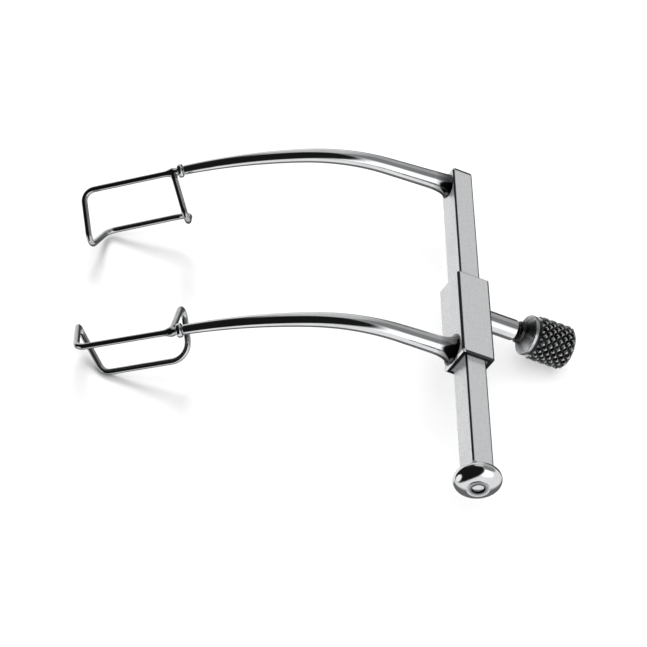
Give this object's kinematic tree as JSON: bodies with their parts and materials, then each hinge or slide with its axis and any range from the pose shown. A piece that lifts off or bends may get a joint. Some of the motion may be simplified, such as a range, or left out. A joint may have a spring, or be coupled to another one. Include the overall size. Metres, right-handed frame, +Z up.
{
  "type": "cheek retractor",
  "caption": "Self-retaining wire-blade retractor: fixed arm on a square slide bar, sliding arm locked by a knurled thumbscrew, curved arms ending in hooked wire loops.",
  "frame": {"origin": "centre of the bounding box's footprint, on the surface the tool lies on", "axes": "+X from the blades' side to the thumbscrew's side; +Y along the bar from the stop button to the fixed arm; +Z up. The tool lies rolled about Y on the knob's rim and the two blades."},
  "size_m": [0.0812, 0.0666, 0.0189],
  "materials": {
    "polished_steel": "mirror-polished stainless steel",
    "satin_steel": "satin stainless steel, ground along the bar",
    "knurled_steel": "diamond-knurled stainless steel",
    "bronze": "turned bronze, hidden in the block's wall"
  },
  "bodies": {
    "bar": {"slide_bar": "satin_steel", "end_button": "polished_steel", "end_button_screw": "polished_steel", "fixed_arm": "polished_steel", "fixed_arm_collar": "polished_steel", "fixed_blade": "polished_steel", "fixed_blade_ferrule": "polished_steel"},
    "slider": {"sliding_block": "satin_steel", "sliding_arm": "polished_steel", "sliding_arm_collar": "polished_steel", "sliding_blade": "polished_steel", "sliding_blade_ferrule": "polished_steel", "screw_bush": "polished_steel"},
    "shoe": {"clamp_shoe": "bronze"},
    "thumbscrew": {"thumbscrew_shank": "polished_steel", "thumbscrew_knob": "knurled_steel"}
  },
  "joints": [
    {"name": "block_slide", "type": "slide", "parent": "bar", "child": "slider", "axis": [0, 1, 0], "range_m": [-0.0208, 0.0178]},
    {"name": "screw_travel", "type": "slide", "parent": "slider", "child": "shoe", "axis": [0.9135, 0, -0.4068], "range_m": [0, 0.001]},
    {"name": "thumbscrew_turn", "type": "hinge", "parent": "shoe", "child": "thumbscrew", "pos_m": [0.03084, 0.0022, 0.00698], "axis": [0.9135, 0, -0.4068], "range_deg": [0, 720]}
  ],
  "couplings": [
    {"joint": "thumbscrew_turn", "follows": "screw_travel", "rad_per_m": 12566}
  ]
}
